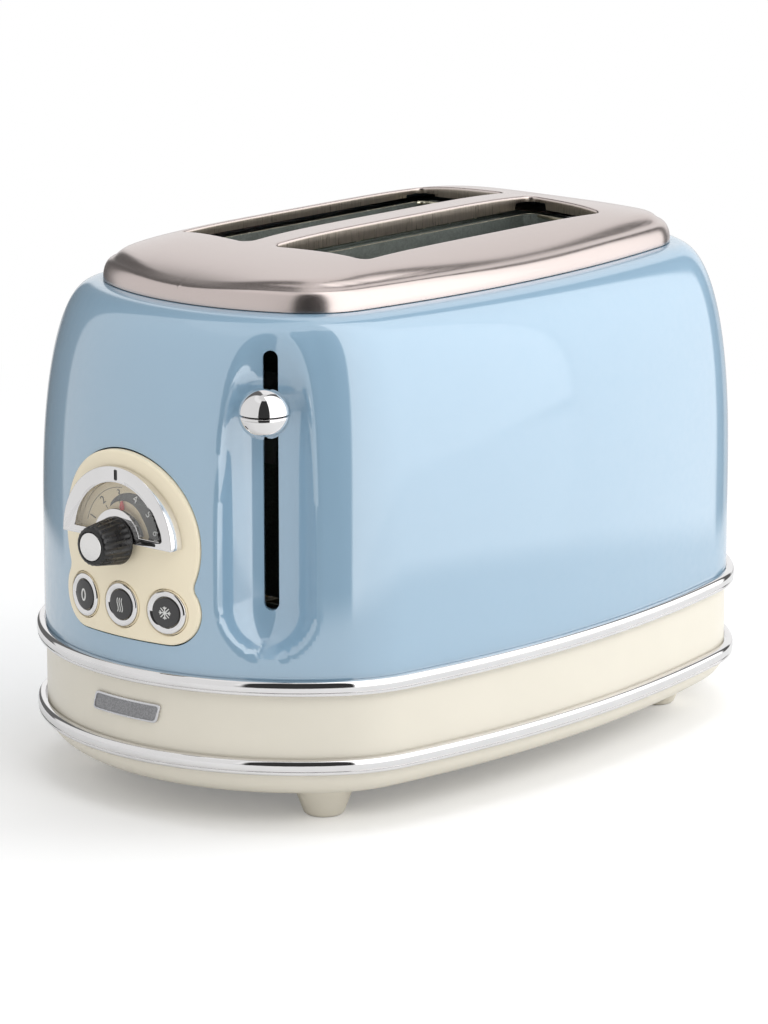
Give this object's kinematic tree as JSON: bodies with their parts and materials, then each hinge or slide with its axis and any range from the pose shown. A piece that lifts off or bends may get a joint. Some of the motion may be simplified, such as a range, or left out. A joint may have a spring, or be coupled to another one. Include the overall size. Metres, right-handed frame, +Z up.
{
  "type": "toaster",
  "caption": "Retro toaster with a rounded moulded shell, domed steel top with long bread slots, browning dial, push buttons, sprung bread lever and a pull-out crumb tray.",
  "frame": {"origin": "centre of the object's bounding box in plan, at the height of the surface that the feet stand on", "axes": "+X along the toaster, from the control end to the crumb tray end; +Y across it; +Z up"},
  "size_m": [0.3198, 0.1972, 0.2046],
  "materials": {
    "blue_enamel": "gloss",
    "cream_plastic": "satin",
    "panel_cream": "satin",
    "chrome": "polished",
    "brushed_steel": "brushed",
    "satin_silver": "satin",
    "galvanised": "dull",
    "plain_steel": "bright",
    "heating_wire": "oxidised",
    "mica": "matt",
    "black_plastic": "satin",
    "red_plastic": "satin",
    "clear_window": "polished",
    "circuit_board": "satin"
  },
  "bodies": {
    "base": {"body_shell": "blue_enamel", "control_panel": "panel_cream", "dial_bezel": "chrome", "dial_window": "clear_window", "dial_scale": "panel_cream", "potentiometer": "plain_steel", "circuit_board": "circuit_board", "base_pan": "cream_plastic", "base_band": "cream_plastic", "lower_trim_ring": "chrome", "upper_trim_ring": "chrome", "badge_plate": "satin_silver", "cord_gland": "black_plastic", "foot_front_near": "cream_plastic", "foot_front_far": "cream_plastic", "foot_rear_near": "cream_plastic", "foot_rear_far": "cream_plastic", "top_plate": "brushed_steel", "chassis_floor": "galvanised", "chassis_front_plate": "galvanised", "chassis_rear_plate": "galvanised", "chassis_top_frame": "galvanised", "reflector_near": "galvanised", "reflector_far": "galvanised", "heater_card_centre": "mica", "heater_card_near": "mica", "heater_card_far": "mica", "heater_winding_centre": "heating_wire", "heater_winding_near": "heating_wire", "heater_winding_far": "heating_wire", "guide_rod": "plain_steel", "return_spring": "plain_steel", "electromagnet": "plain_steel"},
    "lever": {"lever_knob_upper": "chrome", "lever_knob_lower": "chrome", "lever_arm": "plain_steel", "carriage_bracket": "plain_steel", "armature_plate": "plain_steel", "bread_rack_near": "plain_steel", "bread_rack_far": "plain_steel"},
    "browning_dial": {"browning_knob": "black_plastic", "knob_cap": "satin_silver", "knob_shaft": "plain_steel", "dial_pointer": "red_plastic"},
    "cancel_button": {"cancel_button_body": "panel_cream", "cancel_button_ring": "chrome", "cancel_button_insert": "black_plastic"},
    "reheat_button": {"reheat_button_body": "panel_cream", "reheat_button_ring": "chrome", "reheat_button_insert": "black_plastic"},
    "defrost_button": {"defrost_button_body": "panel_cream", "defrost_button_ring": "chrome", "defrost_button_insert": "black_plastic"},
    "guide_near_outer": {"bread_guide_near_outer": "plain_steel"},
    "guide_near_inner": {"bread_guide_near_inner": "plain_steel"},
    "guide_far_inner": {"bread_guide_far_inner": "plain_steel"},
    "guide_far_outer": {"bread_guide_far_outer": "plain_steel"},
    "crumb_tray": {"crumb_tray": "cream_plastic"}
  },
  "joints": [
    {"name": "lever_slide", "type": "slide", "parent": "base", "child": "lever", "axis": [0, 0, 1], "range_m": [-0.07, 0.014], "stiffness_N_per_m": 60, "springref_m": 0.01565, "deforming": ["return_spring"]},
    {"name": "browning_turn", "type": "hinge", "parent": "base", "child": "browning_dial", "pos_m": [-0.1462, 0, 0.1043], "axis": [1, 0, 0], "range_deg": [-75, 75]},
    {"name": "cancel_press", "type": "slide", "parent": "base", "child": "cancel_button", "axis": [1, 0, 0], "range_m": [0, 0.002], "stiffness_N_per_m": 300, "springref_m": -0.002},
    {"name": "reheat_press", "type": "slide", "parent": "base", "child": "reheat_button", "axis": [1, 0, 0], "range_m": [0, 0.002], "stiffness_N_per_m": 300, "springref_m": -0.002},
    {"name": "defrost_press", "type": "slide", "parent": "base", "child": "defrost_button", "axis": [1, 0, 0], "range_m": [0, 0.002], "stiffness_N_per_m": 300, "springref_m": -0.002},
    {"name": "near_outer_guide_slide", "type": "slide", "parent": "base", "child": "guide_near_outer", "axis": [0, 1, 0], "range_m": [-0.001, 0.005]},
    {"name": "near_inner_guide_slide", "type": "slide", "parent": "base", "child": "guide_near_inner", "axis": [0, 1, 0], "range_m": [-0.005, 0.001]},
    {"name": "far_inner_guide_slide", "type": "slide", "parent": "base", "child": "guide_far_inner", "axis": [0, 1, 0], "range_m": [-0.001, 0.005]},
    {"name": "far_outer_guide_slide", "type": "slide", "parent": "base", "child": "guide_far_outer", "axis": [0, 1, 0], "range_m": [-0.005, 0.001]},
    {"name": "crumb_tray_slide", "type": "slide", "parent": "base", "child": "crumb_tray", "axis": [1, 0, 0], "range_m": [0, 0.15]}
  ],
  "couplings": [
    {"joint": "near_outer_guide_slide", "follows": "lever_slide", "ratio": -0.0714},
    {"joint": "near_inner_guide_slide", "follows": "lever_slide", "ratio": 0.0714},
    {"joint": "far_inner_guide_slide", "follows": "lever_slide", "ratio": -0.0714},
    {"joint": "far_outer_guide_slide", "follows": "lever_slide", "ratio": 0.0714}
  ]
}
